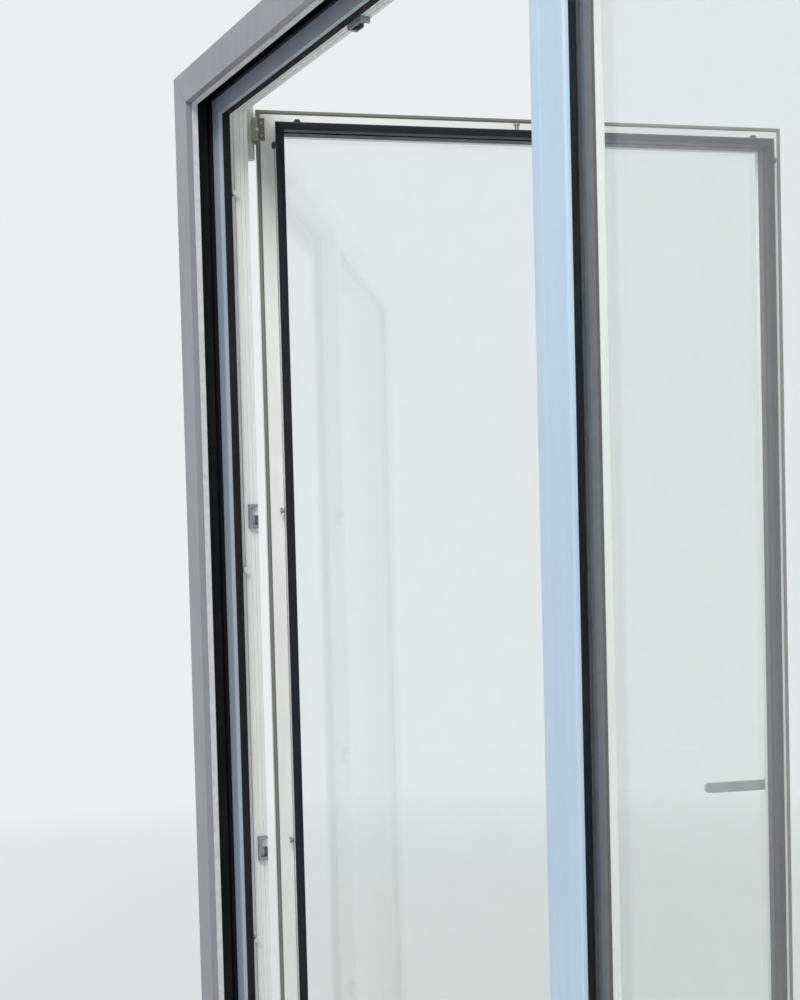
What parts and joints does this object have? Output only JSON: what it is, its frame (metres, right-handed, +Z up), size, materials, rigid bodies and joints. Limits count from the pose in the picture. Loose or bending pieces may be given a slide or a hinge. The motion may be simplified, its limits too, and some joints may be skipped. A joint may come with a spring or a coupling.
{
  "type": "framed glass entrance door",
  "caption": "Glazed entrance door in a clad white frame, with a side-hung leaf that opens inwards beside a fixed light.",
  "frame": {"origin": "under the sill, at the middle of the frame's length and of its depth", "axes": "+X to the right seen from outside, +Y into the building, +Z up"},
  "size_m": [2.052, 1.1163, 2.35],
  "materials": {
    "profile_white": "satin white",
    "cladding": "satin blue-grey powder coat",
    "leaf_cladding": "satin dark grey powder coat",
    "trim": "satin anthracite powder coat",
    "strip": "matt light grey",
    "seal_black": "matt black",
    "seal_grey": "matt dark grey",
    "glass": "clear",
    "spacer": "matt dark grey",
    "packers": "matt",
    "packers_black": "matt black",
    "hardware": "zinc plated",
    "handle_metal": "satin anodised",
    "caps_white": "satin white"
  },
  "bodies": {
    "frame": {"jamb_left": "profile_white", "jamb_right": "profile_white", "head": "profile_white", "sill": "profile_white", "mullion": "profile_white", "jamb_left_cladding": "cladding", "jamb_right_cladding": "cladding", "head_cladding": "cladding", "sill_cladding": "cladding", "mullion_cladding": "cladding", "trim_left": "trim", "trim_head": "trim", "trim_right": "trim", "trim_edge_strip": "strip", "trim_slot_seal": "seal_black", "sill_flashing": "trim", "weep_caps": "caps_white", "door_seal": "seal_black", "fixed_pane_outer": "glass", "fixed_pane_inner": "glass", "fixed_edge_sealant": "seal_black", "fixed_spacer": "spacer", "fixed_gasket_outer": "seal_black", "fixed_gasket_inner": "seal_black", "fixed_packers": "packers", "fixed_beads": "profile_white", "keeps": "hardware", "frame_hinge_top": "hardware", "frame_hinge_bottom": "hardware", "hinge_pins": "hardware"},
    "leaf": {"leaf_stile_hinge_side": "profile_white", "leaf_stile_lock_side": "profile_white", "leaf_rail_top": "profile_white", "leaf_rail_bottom": "profile_white", "leaf_stile_hinge_side_cladding": "leaf_cladding", "leaf_stile_lock_side_cladding": "leaf_cladding", "leaf_rail_top_cladding": "leaf_cladding", "leaf_rail_bottom_cladding": "leaf_cladding", "leaf_pane_outer": "glass", "leaf_pane_inner": "glass", "leaf_edge_sealant": "seal_black", "leaf_spacer": "spacer", "leaf_gasket_outer": "seal_black", "leaf_gasket_inner": "seal_black", "leaf_packers": "packers", "leaf_beads": "profile_white", "leaf_flange_seal": "seal_grey", "faceplates": "hardware", "gearbox": "hardware", "handle_rosette": "handle_metal", "leaf_edge_blocks": "packers_black", "leaf_hinge_top": "hardware", "leaf_hinge_bottom": "hardware", "hinge_caps": "caps_white"},
    "handle": {"handle_lever": "handle_metal", "handle_spindle": "hardware"},
    "lock_rod": {"lock_rod": "hardware"},
    "top_rod": {"top_rod": "hardware"},
    "hinge_rod": {"hinge_rod": "hardware"}
  },
  "joints": [
    {"name": "leaf_swing", "type": "hinge", "parent": "frame", "child": "leaf", "pos_m": [-0.999, 0.047, 1.1], "axis": [0, 0, 1], "range_deg": [-72, 23]},
    {"name": "handle_turn", "type": "hinge", "parent": "leaf", "child": "handle", "pos_m": [-0.70205, 0.98358, 1.05], "axis": [0.9511, -0.309, 0], "range_deg": [0, 90]},
    {"name": "lock_rod_slide", "type": "slide", "parent": "leaf", "child": "lock_rod", "axis": [0, 0, 1], "range_m": [0, 0.018]},
    {"name": "top_rod_slide", "type": "slide", "parent": "leaf", "child": "top_rod", "axis": [-0.309, -0.9511, 0], "range_m": [0, 0.018]},
    {"name": "hinge_rod_slide", "type": "slide", "parent": "leaf", "child": "hinge_rod", "axis": [0, 0, -1], "range_m": [0, 0.018]}
  ],
  "couplings": [
    {"joint": "lock_rod_slide", "follows": "handle_turn", "m_per_rad": 0.011459},
    {"joint": "top_rod_slide", "follows": "handle_turn", "m_per_rad": 0.011459},
    {"joint": "hinge_rod_slide", "follows": "handle_turn", "m_per_rad": 0.011459}
  ]
}
